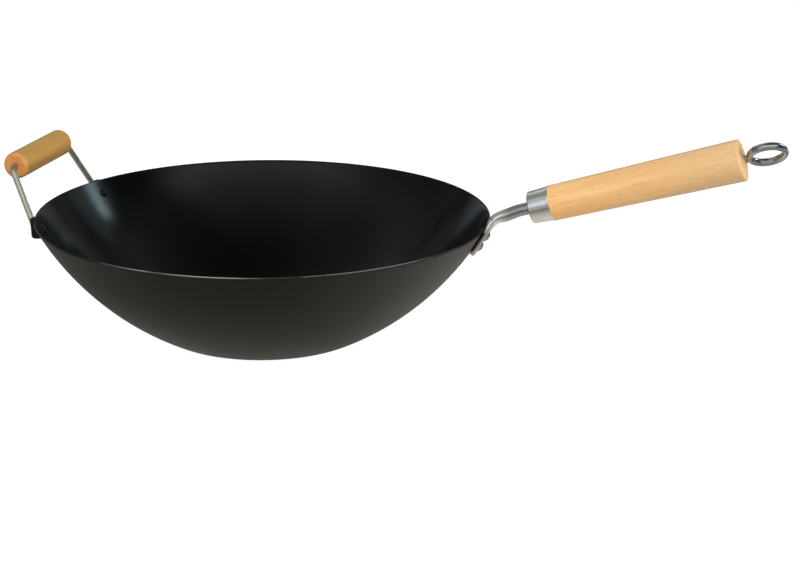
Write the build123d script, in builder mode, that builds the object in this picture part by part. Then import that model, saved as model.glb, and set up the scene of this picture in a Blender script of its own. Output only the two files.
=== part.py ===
from build123d import *
import os
from math import asin, atan2, cos, degrees, hypot, radians, sin, sqrt

# Carbon steel wok with a flat base, a long wooden handle and a wooden helper grip.
# Millimetres, +Z up. The origin is the centre of the underside of the base. +X runs out
# under the long handle, and the helper grip is on the -X side.

os.makedirs("parts", exist_ok=True)

# Bowl: one pressed sheet with a flat base and one long bowed wall
rim_radius = 178.0
bowl_height = 96.0
base_radius = 76.0
wall_bow = 223.0
base_corner = 25.0
sheet = 1.6
lip_round = 0.5

# Fits: how far apart the pieces stand that touch, turn or slide in each other
seat_gap = 0.05
bore_gap = 0.05
turning_gap = 0.10
cut_overrun = 5.0

# Long handle: a straight axis that leans up from the rim
handle_tilt = 16.9
handle_rise = 9.7
rod_diameter = 9.6
rod_dip = 8.0
rod_dip_reach = 27.0
rod_dip_bend = 30.0
tang_depth = 25.0

# Neck and foot of the rod: forged flatter at the bend over the rim, and flat on the wall
neck_width = 12.5
neck_thickness = 8.0
neck_reach = 9.0
foot_width = 18.0
foot_thickness = 3.7
foot_edge = 1.5
foot_drop = 9.0
foot_below = 12.0
foot_above = 11.5

# Rivets of the foot
rivet_diameter = 5.0
rivet_head_diameter = 8.4
rivet_head_rise = 2.0
rivet_spacing = 10.0

# Ferrule: a drawn cup that opens towards the wood
ferrule_length = 17.0
ferrule_front_diameter = 24.6
ferrule_back_diameter = 26.6
ferrule_wall = 1.1
ferrule_corner = 0.8
ferrule_bead_width = 1.8
ferrule_bead_rise = 0.25
ferrule_bead_round = 0.2

# Wooden handle
wood_setback = 54.2
wood_length = 148.6
wood_front_diameter = 27.2
wood_end_diameter = 31.6
wood_end_rise = 1.8
wood_end_round = 1.8

# Eye bolt: a ring on a long shank
eye_diameter = 31.0
eye_section = 4.8
eye_section_width = 6.2
eye_standoff = 1.0
eye_roll = 53.0
shank_diameter = 6.0
shank_clearance = 0.3
thread_engagement = 14.0
thread_runout = 4.0

# Helper handle: a wooden grip on a bent wire
grip_length = 86.4
grip_diameter = 21.3
grip_edge = 3.0
grip_overhang = 11.6
grip_rise = 35.75
grip_play = 0.8
wire_diameter = 4.8
wire_bend = 7.0
wire_spread = 59.4
wire_rim_gap = 0.3

# Lugs of the helper handle: wedges on the wall with a socket for the wire
lug_width = 12.0
lug_height = 15.5
lug_face_overhang = 3.0
lug_face_slope = 0.7
lug_edge = 1.5
lug_foot_round = 3.0
socket_depth = 12.0
tenon_rise = 5.5
tenon_diameter = 5.0
tenon_head_diameter = 7.2
tenon_head_rise = 1.7

# Centre of the wall's bow in the plane of radius and height
wall_run = rim_radius - base_radius
wall_chord = hypot(wall_run, bowl_height)
bow_rise = sqrt(wall_bow**2 - (wall_chord / 2) ** 2)
bow_centre_r = (base_radius + rim_radius) / 2 - bow_rise * bowl_height / wall_chord
bow_centre_z = bowl_height / 2 + bow_rise * wall_run / wall_chord


def wall_radius(height):
    """Outer radius of the wall at a height above the base."""
    return bow_centre_r + sqrt(wall_bow**2 - (bow_centre_z - height) ** 2)


def wall_plane(angle, height):
    """Plane that touches the outside of the wall: x level, y up the slope, z outwards."""
    radius = wall_radius(height)
    out_r = (radius - bow_centre_r) / wall_bow
    out_z = (height - bow_centre_z) / wall_bow
    cosine, sine = cos(radians(angle)), sin(radians(angle))
    return Plane(
        origin=(radius * cosine, radius * sine, height),
        x_dir=(-sine, cosine, 0),
        z_dir=(out_r * cosine, out_r * sine, out_z),
    )


def bulge(distance):
    """How far the wall falls back from a plane that touches it, at a distance along it."""
    return wall_bow - sqrt(wall_bow**2 - distance**2)


def side_plane(plane):
    """Plane through a plane's normal, for turned profiles: x along the normal."""
    return Plane(origin=plane.origin, x_dir=plane.z_dir, z_dir=plane.x_dir)


# Long handle: planes square to its axis, and one plane through it for turned profiles
handle_direction = Vector(cos(radians(handle_tilt)), 0, sin(radians(handle_tilt)))
handle_start = Vector(rim_radius, 0, bowl_height + handle_rise)
handle_side = Plane(origin=handle_start, x_dir=handle_direction, z_dir=(0, -1, 0))
handle_axis = Axis(handle_start, handle_direction)


def handle_section(distance):
    """Plane square to the long handle, at a distance along its axis from the rim."""
    return Plane(origin=handle_start + handle_direction * distance, x_dir=(0, 1, 0), z_dir=handle_direction)


ferrule_start = wood_setback - ferrule_length
tang_end = wood_setback + tang_depth
wood_end = wood_setback + wood_length
eye_centre = wood_end + eye_standoff + eye_diameter / 2
shank_end = tang_end - thread_engagement

# Foot of the rod: the plane that touches the wall, and the line along the middle of the foot
foot_plane = wall_plane(0, bowl_height - foot_drop)
foot_line_start = foot_plane.origin + foot_plane.z_dir * (seat_gap + foot_thickness / 2)
foot_up = foot_plane.y_dir

# The rod dips a little in front of the ferrule, then bends down over the rim onto the foot's line
dip_corner = handle_section(rod_dip_reach).origin
dip_angle = radians(handle_tilt + rod_dip)
dip_direction = Vector(cos(dip_angle), 0, sin(dip_angle))
dip_gap = dip_corner - foot_line_start
bend_distance = (dip_gap.X * dip_direction.Z - dip_gap.Z * dip_direction.X) / (
    foot_up.X * dip_direction.Z - foot_up.Z * dip_direction.X
)
bend_corner = foot_line_start + foot_up * bend_distance
neck_foot = foot_line_start + foot_up * foot_above
neck_top = bend_corner + dip_direction * neck_reach
rivet_low = foot_width / 2 - foot_below
rivet_places = {"handle_rivet_lower": rivet_low, "handle_rivet_upper": rivet_low + rivet_spacing}

# Helper handle: the wire stands clear of the rim where its legs pass it
grip_x = -(rim_radius + grip_overhang)
grip_z = bowl_height + grip_rise
rim_slope = (rim_radius - bow_centre_r) / wall_bow
pass_radius = rim_radius + (wire_diameter / 2 + wire_rim_gap) / rim_slope
pass_x = -sqrt(pass_radius**2 - wire_spread**2)
leg_fall = hypot(pass_x - grip_x, grip_rise)
bail_down = Vector(pass_x - grip_x, 0, -grip_rise).normalized()
straight_half = grip_length / 2 + grip_play
bend_reach = hypot(wire_spread - straight_half, leg_fall - wire_bend)
leg_splay = atan2(wire_spread - straight_half, leg_fall - wire_bend) - asin(wire_bend / bend_reach)
wire_corner = wire_spread - leg_fall * sin(leg_splay) / cos(leg_splay)
leg_length = (leg_fall - socket_depth / bail_down.Z) / cos(leg_splay)


def leg_direction(side):
    """Direction down one leg of the wire; side is 1 or -1."""
    return bail_down * cos(leg_splay) + Vector(0, side * sin(leg_splay), 0)


def leg_point(side, distance):
    """Point on one leg of the wire, at a distance down from its corner at the grip."""
    return Vector(grip_x, side * wire_corner, grip_z) + leg_direction(side) * distance


def lug_angle(side):
    """Angle round the bowl at which the leg crosses the middle of its lug."""
    middle = leg_point(side, (grip_rise + lug_height / 2) / -leg_direction(side).Z)
    return degrees(atan2(middle.Y, middle.X))


def tenon_plane(side):
    """Plane that touches the wall at a lug's tenon."""
    return wall_plane(lug_angle(side), bowl_height - lug_height + tenon_rise)


# Wok body
with BuildPart() as wok_body:
    with BuildSketch(Plane.XZ):
        with BuildLine():
            base_line = Line((0, 0), (base_radius, 0))
            RadiusArc(base_line @ 1, (rim_radius, bowl_height), -wall_bow)
            fillet(vertices().group_by(Axis.X)[1], base_corner)
            offset(amount=sheet, side=Side.LEFT)
        make_face()
        fillet(vertices().sort_by(Axis.Y)[-2:], lip_round)
    revolve(axis=Axis.Z)
    with BuildSketch(foot_plane):
        with Locations(*[(0, place) for place in rivet_places.values()]):
            Circle(rivet_diameter / 2 + bore_gap)
    extrude(amount=sheet + cut_overrun, both=True, mode=Mode.SUBTRACT)
    for side in (1, -1):
        with BuildSketch(tenon_plane(side)):
            Circle(tenon_diameter / 2 + bore_gap)
        extrude(amount=sheet + cut_overrun, both=True, mode=Mode.SUBTRACT)

wok_body.part.label = "wok_body"
export_step(wok_body.part, "parts/wok_body.step")

# Rod of the long handle: flattened foot, neck, bend and round tang
with BuildPart() as handle_rod:
    with BuildSketch(foot_plane.offset(seat_gap)):
        with Locations((0, (foot_above + rivet_low) / 2)):
            Rectangle(foot_width, foot_above - rivet_low)
        with Locations((0, rivet_low)):
            Circle(foot_width / 2)
    extrude(amount=foot_thickness)
    foot_faces = faces().filter_by(Axis(foot_plane.origin, foot_plane.z_dir))
    fillet(foot_faces.edges().filter_by(Axis(foot_plane.origin, foot_plane.x_dir), reverse=True), foot_edge)
    with BuildSketch(foot_plane):
        with Locations(*[(0, place) for place in rivet_places.values()]):
            Circle(rivet_diameter / 2 + bore_gap)
    extrude(amount=foot_thickness + cut_overrun, mode=Mode.SUBTRACT)
    with BuildSketch(Plane(origin=neck_foot, x_dir=foot_plane.x_dir, z_dir=foot_up)):
        RectangleRounded(foot_width, foot_thickness, foot_edge)
    with BuildSketch(Plane(origin=bend_corner, x_dir=foot_plane.x_dir, z_dir=foot_up + dip_direction)):
        Ellipse(neck_width / 2, neck_thickness / 2)
    with BuildSketch(Plane(origin=neck_top, x_dir=foot_plane.x_dir, z_dir=dip_direction)):
        Circle(rod_diameter / 2)
    loft()
    with BuildLine() as rod_path:
        FilletPolyline(neck_top, dip_corner, handle_section(tang_end).origin, radius=rod_dip_bend)
    with BuildSketch(Plane(origin=neck_top, x_dir=foot_plane.x_dir, z_dir=dip_direction)):
        Circle(rod_diameter / 2)
    sweep(path=rod_path.line)
    with BuildSketch(handle_section(tang_end)):
        Circle(shank_diameter / 2 + bore_gap)
    extrude(amount=-(thread_engagement + thread_runout), mode=Mode.SUBTRACT)

handle_rod.part.label = "handle_rod"
export_step(handle_rod.part, "parts/handle_rod.step")

# Rivets of the foot: a round head inside the bowl and one on the foot
for name, place in rivet_places.items():
    rivet_plane = side_plane(Plane(foot_plane.from_local_coords((0, place, 0)), foot_plane.x_dir, foot_plane.z_dir))
    head_radius = rivet_head_diameter / 2
    inner_seat = -(sheet + bulge(abs(place) + head_radius) + seat_gap)
    outer_seat = foot_thickness + 2 * seat_gap
    with BuildPart() as rivet:
        with BuildSketch(rivet_plane):
            with BuildLine():
                inner_top = (inner_seat - rivet_head_rise, 0)
                outer_top = (outer_seat + rivet_head_rise, 0)
                TangentArc(inner_top, (inner_seat, head_radius), tangent=(0, 1))
                Polyline(
                    (inner_seat, head_radius),
                    (inner_seat, rivet_diameter / 2),
                    (outer_seat, rivet_diameter / 2),
                    (outer_seat, head_radius),
                )
                TangentArc(outer_top, (outer_seat, head_radius), tangent=(0, 1))
                Line(outer_top, inner_top)
            make_face()
        revolve(axis=Axis(rivet_plane.origin, rivet_plane.x_dir))
    rivet.part.label = name
    export_step(rivet.part, f"parts/{name}.step")

# Ferrule: a tapered cup with a hole for the rod and a bead at its mouth
front_radius = ferrule_front_diameter / 2
back_radius = ferrule_back_diameter / 2
taper = (back_radius - front_radius) / ferrule_length
bead_start = wood_setback - ferrule_bead_width

with BuildPart() as handle_ferrule:
    with BuildSketch(handle_side):
        with BuildLine():
            Polyline(
                (ferrule_start, rod_diameter / 2 + bore_gap),
                (ferrule_start, front_radius),
                (bead_start, back_radius - taper * ferrule_bead_width),
                (bead_start, back_radius + ferrule_bead_rise),
                (wood_setback, back_radius + ferrule_bead_rise),
                (wood_setback, back_radius - ferrule_wall),
                (ferrule_start + ferrule_wall, front_radius + taper * ferrule_wall - ferrule_wall),
                (ferrule_start + ferrule_wall, rod_diameter / 2 + bore_gap),
                close=True,
            )
        make_face()
    revolve(axis=handle_axis)
    front_edge = edges().filter_by(GeomType.CIRCLE).group_by(handle_axis)[0].sort_by(SortBy.RADIUS)[-1]
    fillet(front_edge, ferrule_corner)
    bead_edges = edges().filter_by(GeomType.CIRCLE).sort_by(SortBy.RADIUS)[-2:]
    fillet(bead_edges, ferrule_bead_round)

handle_ferrule.part.label = "handle_ferrule"
export_step(handle_ferrule.part, "parts/handle_ferrule.step")

# Wooden handle: turned, with a spigot inside the ferrule, a domed end and a stepped bore
spigot_start = ferrule_start + ferrule_wall + seat_gap
spigot_back = back_radius - ferrule_wall - bore_gap
spigot_front = spigot_back - taper * (wood_setback - spigot_start)
end_edge = (wood_end - wood_end_rise, wood_end_diameter / 2)

with BuildPart() as handle_wood:
    with BuildSketch(handle_side):
        with BuildLine():
            Polyline(
                (wood_end, 0),
                (spigot_start, 0),
                (spigot_start, spigot_front),
                (wood_setback + seat_gap, spigot_back),
                (wood_setback + seat_gap, wood_front_diameter / 2),
                end_edge,
            )
            TangentArc((wood_end, 0), end_edge, tangent=(0, 1))
        make_face()
        fillet(vertices().sort_by(Axis.Y)[-1], wood_end_round)
    revolve(axis=handle_axis)
    with BuildSketch(handle_section(spigot_start)):
        Circle(rod_diameter / 2 + bore_gap)
    extrude(amount=tang_end + seat_gap - spigot_start, mode=Mode.SUBTRACT)
    with BuildSketch(handle_section(spigot_start)):
        Circle(shank_diameter / 2 + shank_clearance)
    extrude(amount=wood_end + cut_overrun - spigot_start, mode=Mode.SUBTRACT)

handle_wood.part.label = "handle_wood"
export_step(handle_wood.part, "parts/handle_wood.step")

# Eye bolt: an oval-section ring close to the end of the wood, and a shank that screws into the tang
roll = radians(eye_roll)
handle_up = handle_side.y_dir
eye_normal = Vector(0, -cos(roll), 0) - handle_up * sin(roll)
eye_origin = handle_section(eye_centre).origin
eye_plane = Plane(origin=eye_origin, x_dir=handle_direction, z_dir=handle_direction.cross(eye_normal))
eye_middle_radius = (eye_diameter - eye_section) / 2

with BuildPart() as eye_bolt:
    with BuildSketch(eye_plane):
        with Locations((-eye_middle_radius, 0)):
            Ellipse(eye_section / 2, eye_section_width / 2)
    revolve(axis=Axis(eye_origin, eye_normal))
    with BuildSketch(handle_section(shank_end)):
        Circle(shank_diameter / 2)
    extrude(amount=eye_centre - eye_middle_radius - shank_end)

eye_bolt.part.label = "eye_bolt"
export_step(eye_bolt.part, "parts/eye_bolt.step")

# Wire of the helper handle: one length, bent down at both ends of the grip
with BuildPart() as helper_bail:
    with BuildLine() as wire_path:
        FilletPolyline(
            leg_point(1, leg_length), leg_point(1, 0), leg_point(-1, 0), leg_point(-1, leg_length), radius=wire_bend
        )
    with BuildSketch(Plane(origin=wire_path.line @ 0, z_dir=wire_path.line % 0)):
        Circle(wire_diameter / 2)
    sweep(path=wire_path.line)

helper_bail.part.label = "helper_bail"
export_step(helper_bail.part, "parts/helper_bail.step")

# Grip: a bored dowel that turns on the wire
with BuildPart() as helper_grip:
    with BuildSketch(Plane(origin=(grip_x, -grip_length / 2, grip_z), x_dir=(1, 0, 0), z_dir=(0, 1, 0))):
        Circle(grip_diameter / 2)
        Circle(wire_diameter / 2 + turning_gap, mode=Mode.SUBTRACT)
    extrude(amount=grip_length)
    fillet(edges().filter_by(GeomType.CIRCLE).sort_by(SortBy.RADIUS)[-2:], grip_edge)

helper_grip.part.label = "helper_grip"
export_step(helper_grip.part, "parts/helper_grip.step")

# Lugs: a wedge on the wall with an upright face, a socket for the wire and a headed tenon
lug_bottom = bowl_height - lug_height
lug_face_top = rim_radius + lug_face_overhang
lug_face_bottom = lug_face_top - lug_face_slope

for side, name in ((1, "helper_lug_right"), (-1, "helper_lug_left")):
    touch = tenon_plane(side)
    cosine, sine = cos(radians(lug_angle(side))), sin(radians(lug_angle(side)))
    upright = Plane(origin=(0, 0, 0), x_dir=(cosine, sine, 0), z_dir=(sine, -cosine, 0))
    touch_radius = wall_radius(touch.origin.Z) + seat_gap
    lean = hypot(touch.y_dir.X, touch.y_dir.Y) / touch.y_dir.Z
    back_bottom = touch_radius - lean * tenon_rise
    back_top = touch_radius + lean * (lug_height - tenon_rise)
    with BuildPart() as lug:
        with BuildSketch(upright):
            with BuildLine():
                Polyline(
                    (back_bottom, lug_bottom),
                    (lug_face_bottom, lug_bottom),
                    (lug_face_top, bowl_height),
                    (back_top, bowl_height),
                    close=True,
                )
            make_face()
        extrude(amount=lug_width / 2, both=True)
        outward = Axis((0, 0, 0), (cosine, sine, 0))
        level = Axis((0, 0, 0), (sine, -cosine, 0))
        foot_edge_line = edges().filter_by(level).sort_by(Axis.Z)[:2].sort_by(outward)[-1]
        fillet(foot_edge_line, lug_foot_round)
        face_edges = faces().filter_by(level).edges().filter_by(
            lambda edge: edge.center().dot(outward.direction) > lug_face_bottom - lug_foot_round
        )
        fillet(face_edges, lug_edge)
        with BuildSketch(Plane(origin=leg_point(side, leg_length), z_dir=-leg_direction(side))):
            Circle(wire_diameter / 2 + bore_gap)
        extrude(amount=leg_length, mode=Mode.SUBTRACT)
        profile_plane = side_plane(touch)
        with BuildSketch(profile_plane):
            with BuildLine():
                inner_seat = -(sheet + bulge(tenon_head_diameter / 2) + seat_gap)
                inner_top = (inner_seat - tenon_head_rise, 0)
                TangentArc(inner_top, (inner_seat, tenon_head_diameter / 2), tangent=(0, 1))
                Polyline(
                    (inner_seat, tenon_head_diameter / 2),
                    (inner_seat, tenon_diameter / 2),
                    (2 * seat_gap, tenon_diameter / 2),
                    (2 * seat_gap, 0),
                    inner_top,
                )
            make_face()
        revolve(axis=Axis(profile_plane.origin, profile_plane.x_dir))
    lug.part.label = name
    export_step(lug.part, f"parts/{name}.step")
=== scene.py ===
from math import acos, asin, atan2, cos, hypot, pi, radians, sin, sqrt, tan

import bmesh
import bpy
from mathutils import Matrix, Quaternion, Vector


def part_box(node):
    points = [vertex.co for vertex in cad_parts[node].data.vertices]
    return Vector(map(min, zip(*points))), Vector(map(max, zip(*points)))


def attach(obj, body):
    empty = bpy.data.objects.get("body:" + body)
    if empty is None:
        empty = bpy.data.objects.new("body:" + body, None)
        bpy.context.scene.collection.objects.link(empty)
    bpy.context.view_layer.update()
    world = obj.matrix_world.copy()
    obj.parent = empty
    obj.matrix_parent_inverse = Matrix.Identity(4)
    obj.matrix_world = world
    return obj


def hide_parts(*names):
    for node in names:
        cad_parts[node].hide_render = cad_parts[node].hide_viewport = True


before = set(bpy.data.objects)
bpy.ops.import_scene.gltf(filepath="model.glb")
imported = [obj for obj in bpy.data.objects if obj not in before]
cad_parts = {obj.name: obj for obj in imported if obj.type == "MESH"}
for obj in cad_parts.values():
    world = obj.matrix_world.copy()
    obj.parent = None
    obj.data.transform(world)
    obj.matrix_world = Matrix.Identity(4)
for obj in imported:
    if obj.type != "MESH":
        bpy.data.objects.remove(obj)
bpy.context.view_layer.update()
MM = 0.001


# Bowl: one disc of 1.6 mm carbon steel sheet, pressed to a flat base and one long bowed wall.
# It is baked black: satin inside, dull outside, and steel at the cut lip, lighter along the front as a
# painted highlight, in patches like wear.
rim_radius = 178.0 * MM
bowl_height = 96.0 * MM
base_radius = 76.0 * MM
wall_bow = 223.0 * MM
base_corner = 25.0 * MM
sheet = 1.6 * MM
lip_round = 0.5 * MM
bowl_steps = 240
bowl_run = 3.0 * MM

# Centre of the wall's bow, and of the corner that joins it to the base, in radius and height
wall_chord = hypot(rim_radius - base_radius, bowl_height)
bow_rise = sqrt(wall_bow**2 - (wall_chord / 2) ** 2)
bow_centre = Vector((
    (base_radius + rim_radius) / 2 - bow_rise * bowl_height / wall_chord,
    bowl_height / 2 + bow_rise * (rim_radius - base_radius) / wall_chord,
))
corner_reach = sqrt((wall_bow - base_corner) ** 2 - (bow_centre.y - base_corner) ** 2)
corner_centre = Vector((bow_centre.x + corner_reach, base_corner))
corner_angle = atan2(corner_centre.y - bow_centre.y, corner_reach)
rim_angle = atan2(bowl_height - bow_centre.y, rim_radius - bow_centre.x)


def arc(centre, radius, start, end, longest=2.5 * MM, fewest=4):
    """Points along an arc in a plane, from one angle to another, both ends included."""
    steps = max(fewest, round(abs(end - start) * radius / longest))
    angles = [start + (end - start) * i / steps for i in range(steps + 1)]
    return [Vector((centre.x + radius * cos(a), centre.y + radius * sin(a))) for a in angles]


def spread(points, longest, closed=False):
    """Divides the long runs of an outline, so that its faces stay even and shade smoothly."""
    result = []
    ends = points[1:] + points[:1] if closed else points[1:]
    for start, end in zip(points, ends):
        parts = max(1, round((end - start).length / longest))
        result += [start.lerp(end, i / parts) for i in range(parts)]
    return result if closed else result + [points[-1]]


def bowl_wall(inset, to_angle):
    """One side of the sheet, from the middle of the base up to the lip."""
    corner = arc(corner_centre, base_corner - inset, -pi / 2, corner_angle)
    return [Vector((0, inset))] + corner + arc(bow_centre, wall_bow - inset, corner_angle, to_angle)[1:]


def add_node(tree, kind, settings=None, links=None):
    """Adds a node: settings by property name, or by a socket's name or number, and links to its sockets."""
    node = tree.nodes.new(kind)
    for key, value in (settings or {}).items():
        if isinstance(key, str) and key.islower():
            setattr(node, key, value)
        else:
            node.inputs[key].default_value = value
    for socket, source in (links or {}).items():
        tree.links.new(source, node.inputs[socket])
    return node


def new_shape_tree(name, sizes):
    """An empty Geometry Nodes tree with a mesh coming in, named sizes and a material."""
    tree = bpy.data.node_groups.new(name, "GeometryNodeTree")
    tree.interface.new_socket("Geometry", in_out="OUTPUT", socket_type="NodeSocketGeometry")
    tree.interface.new_socket("Geometry", in_out="INPUT", socket_type="NodeSocketGeometry")
    for size_name, socket_type in {**sizes, "Material": "NodeSocketMaterial"}.items():
        tree.interface.new_socket(size_name, in_out="INPUT", socket_type=socket_type)
    return tree, add_node(tree, "NodeGroupInput").outputs


def end_shape_tree(tree, given, geometry):
    """Ends a tree: real mesh, smooth, in its material."""
    real = add_node(tree, "GeometryNodeRealizeInstances", links={"Geometry": geometry})
    smooth = add_node(tree, "GeometryNodeSetShadeSmooth", links={"Geometry": real.outputs["Geometry"]})
    finish = {"Geometry": smooth.outputs["Geometry"], "Material": given["Material"]}
    finished = add_node(tree, "GeometryNodeSetMaterial", links=finish)
    add_node(tree, "NodeGroupOutput", links={"Geometry": finished.outputs["Geometry"]})


def turning_tree():
    """Turns an outline, drawn as edges in the XY plane, about an axis: x is its radius, y its height."""
    sizes = {"Steps": "NodeSocketInt", "Pole Radius": "NodeSocketFloat", "Weld Distance": "NodeSocketFloat"}
    tree, given = new_shape_tree("turn_outline", sizes)
    outline = add_node(tree, "GeometryNodeMeshToCurve", links={"Mesh": given["Geometry"]})
    round_path = {"Resolution": given["Steps"], "Radius": given["Pole Radius"]}
    path = add_node(tree, "GeometryNodeCurvePrimitiveCircle", links=round_path)
    sweep = {"Curve": path.outputs["Curve"], "Profile Curve": outline.outputs["Curve"]}
    turned = add_node(tree, "GeometryNodeCurveToMesh", links=sweep)
    weld = {"Geometry": turned.outputs["Mesh"], "Distance": given["Weld Distance"]}
    closed = add_node(tree, "GeometryNodeMergeByDistance", links=weld)
    end_shape_tree(tree, given, closed.outputs["Geometry"])
    return tree


def face_outwards(mesh):
    """Turns a closed mesh the right way out, going by the sign of its volume."""
    mesh.calc_loop_triangles()
    corners = [[mesh.vertices[i].co for i in t.vertices] for t in mesh.loop_triangles]
    if sum(a.dot(b.cross(c)) for a, b, c in corners) < 0:
        mesh.flip_normals()


turning = turning_tree()
pole_radius = 0.001 * MM
weld_distance = 0.01 * MM
edge_crease = radians(40)


def bake_shape(piece, tree, sizes, place=Matrix.Identity(4)):
    """Runs a tree on a piece, keeps what it makes as the piece's own mesh, and puts it in place."""
    modifier = piece.modifiers.new(tree.name, "NODES")
    modifier.node_group = tree
    for item in tree.interface.items_tree:
        if item.in_out == "INPUT" and item.name in sizes:
            modifier[item.identifier] = sizes[item.name]
    bpy.context.view_layer.update()
    shown = piece.evaluated_get(bpy.context.evaluated_depsgraph_get())
    mesh = bpy.data.meshes.new_from_object(shown)
    piece.modifiers.remove(modifier)
    piece.data = mesh
    mesh.name = piece.name
    mesh.transform(place)
    face_outwards(mesh)
    mesh.set_sharp_from_angle(angle=edge_crease)
    return piece


def new_piece(name, points, edges=(), faces=()):
    """A mesh object from points, with edges or faces."""
    mesh = bpy.data.meshes.new(name)
    mesh.from_pydata([Vector(p).to_3d() for p in points], edges, faces)
    piece = bpy.data.objects.new(name, mesh)
    bpy.context.scene.collection.objects.link(piece)
    return piece


def turned_piece(name, outline, steps, material, place=Matrix.Identity(4), closed=False):
    """A piece turned about Z from an outline of radius and height, which is closed for a bored piece."""
    count = len(outline)
    edges = [(i, (i + 1) % count) for i in range(count if closed else count - 1)]
    # The sweep lays an outline's height downwards, so it goes in upside down
    piece = new_piece(name, [(p.x, -p.y) for p in outline], edges)
    sizes = {"Steps": steps, "Pole Radius": pole_radius, "Weld Distance": weld_distance, "Material": material}
    return bake_shape(piece, turning, sizes, place)


def colour(hex_code):
    """The linear colour of an sRGB hex value."""
    values = [int(hex_code[i:i + 2], 16) / 255 for i in (0, 2, 4)]
    return [v / 12.92 if v <= 0.04045 else ((v + 0.055) / 1.055) ** 2.4 for v in values] + [1.0]


def new_material(name, settings):
    """A material, its tree and its shader, with the shader's constant settings."""
    material = bpy.data.materials.new(name)
    material.use_nodes = True
    shader = material.node_tree.nodes["Principled BSDF"]
    for socket, value in settings.items():
        shader.inputs[socket].default_value = value
    return material, material.node_tree, shader


# Sockets of the Mix node when it mixes colours
MIX_A, MIX_B, MIX_RESULT = 6, 7, 2


def clouded_finish(name, settings, tones, roughness, cloud, grain, depth):
    """A finish whose tone and gloss drift together in clouds, over a relief with a grain of its own.

    The cloud and the grain are each given as a size and how finely it is broken up.
    """
    material, tree, shader = new_material(name, settings)
    place = add_node(tree, "ShaderNodeTexCoord").outputs["Object"]
    patterns = []
    for size, detail in (cloud, grain):
        noise = add_node(tree, "ShaderNodeTexNoise", {"Scale": 1 / size, "Detail": detail}, {"Vector": place})
        patterns.append(noise.outputs["Fac"])
    clouds, relief = patterns
    ends = {"data_type": "RGBA", MIX_A: colour(tones[0]), MIX_B: colour(tones[1])}
    tone = add_node(tree, "ShaderNodeMix", ends, {"Factor": clouds})
    tree.links.new(tone.outputs[MIX_RESULT], shader.inputs["Base Color"])
    span = {"To Min": roughness[0], "To Max": roughness[1]}
    gloss = add_node(tree, "ShaderNodeMapRange", span, {"Value": clouds})
    tree.links.new(gloss.outputs["Result"], shader.inputs["Roughness"])
    bump = add_node(tree, "ShaderNodeBump", {"Distance": depth}, {"Height": relief})
    tree.links.new(bump.outputs["Normal"], shader.inputs["Normal"])
    return material


def baked_coating(name, tones, roughness, shine, cloud, grain, depth):
    """Black coating baked on steel: a cloudy tone, and a fine grain that breaks up its gloss.

    The real grain is finer than the render can show, so it is drawn coarser.
    """
    settings = {"Specular IOR Level": shine, "IOR": 1.5}
    return clouded_finish(name, settings, tones, roughness, (cloud, 3.0), (grain, 2.0), depth)


# The inside is the smoother side, so it goes almost black and keeps a soft sheen
coating_inside = baked_coating(
    "satin_black_baked_coating", tones=("030404", "070808"), roughness=(0.13, 0.18), shine=0.2,
    cloud=40 * MM, grain=0.8 * MM, depth=0.006 * MM,
)
# The outside is dull and a little brown, with the grain of the blasted sheet under it
coating_outside = baked_coating(
    "dull_black_baked_coating", tones=("100F0D", "161512"), roughness=(0.44, 0.54), shine=0.38,
    cloud=60 * MM, grain=0.6 * MM, depth=0.02 * MM,
)


def lip_steel_with_painted_highlight():
    """The cut lip: near black at the sides and back, and lighter along the front with bright patches, a
    painted highlight broken up like wear.
    """
    # The painted highlight lies on the side of the lip that faces this way
    highlight_way = (0.42, -0.91, 0)
    material, tree, shader = new_material("rubbed_carbon_steel_lip", {"Metallic": 1.0})
    place = add_node(tree, "ShaderNodeTexCoord").outputs["Object"]
    patch_noise = add_node(tree, "ShaderNodeTexNoise", {"Scale": 1 / (70 * MM), "Detail": 5.0}, {"Vector": place})
    share = {"From Min": 0.42, "From Max": 0.6}
    highlight_patches = add_node(tree, "ShaderNodeMapRange", share, {"Value": patch_noise.outputs["Fac"]})
    front = add_node(tree, "ShaderNodeVectorMath", {"operation": "DOT_PRODUCT", 1: highlight_way}, {0: place})
    reach = {"From Min": 115 * MM, "From Max": 155 * MM}
    painted_highlight_side = add_node(tree, "ShaderNodeMapRange", reach, {"Value": front.outputs["Value"]}).outputs["Result"]
    both = {0: highlight_patches.outputs["Result"], 1: painted_highlight_side}
    painted_highlight = add_node(tree, "ShaderNodeMath", {"operation": "MULTIPLY"}, both).outputs["Value"]
    # Lighter towards the front, then bright patches over it: painted highlight, broken up like wear
    dull = {"data_type": "RGBA", MIX_A: colour("1E1D1B"), MIX_B: colour("6A6862")}
    plain = add_node(tree, "ShaderNodeMix", dull, {"Factor": painted_highlight_side}).outputs[MIX_RESULT]
    bright = {"data_type": "RGBA", MIX_B: colour("F0EEE8")}
    base = add_node(tree, "ShaderNodeMix", bright, {"Factor": painted_highlight, MIX_A: plain})
    tree.links.new(base.outputs[MIX_RESULT], shader.inputs["Base Color"])
    roughness = add_node(tree, "ShaderNodeMapRange", {"To Min": 0.45, "To Max": 0.28}, {"Value": painted_highlight})
    tree.links.new(roughness.outputs["Result"], shader.inputs["Roughness"])
    return material


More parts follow.
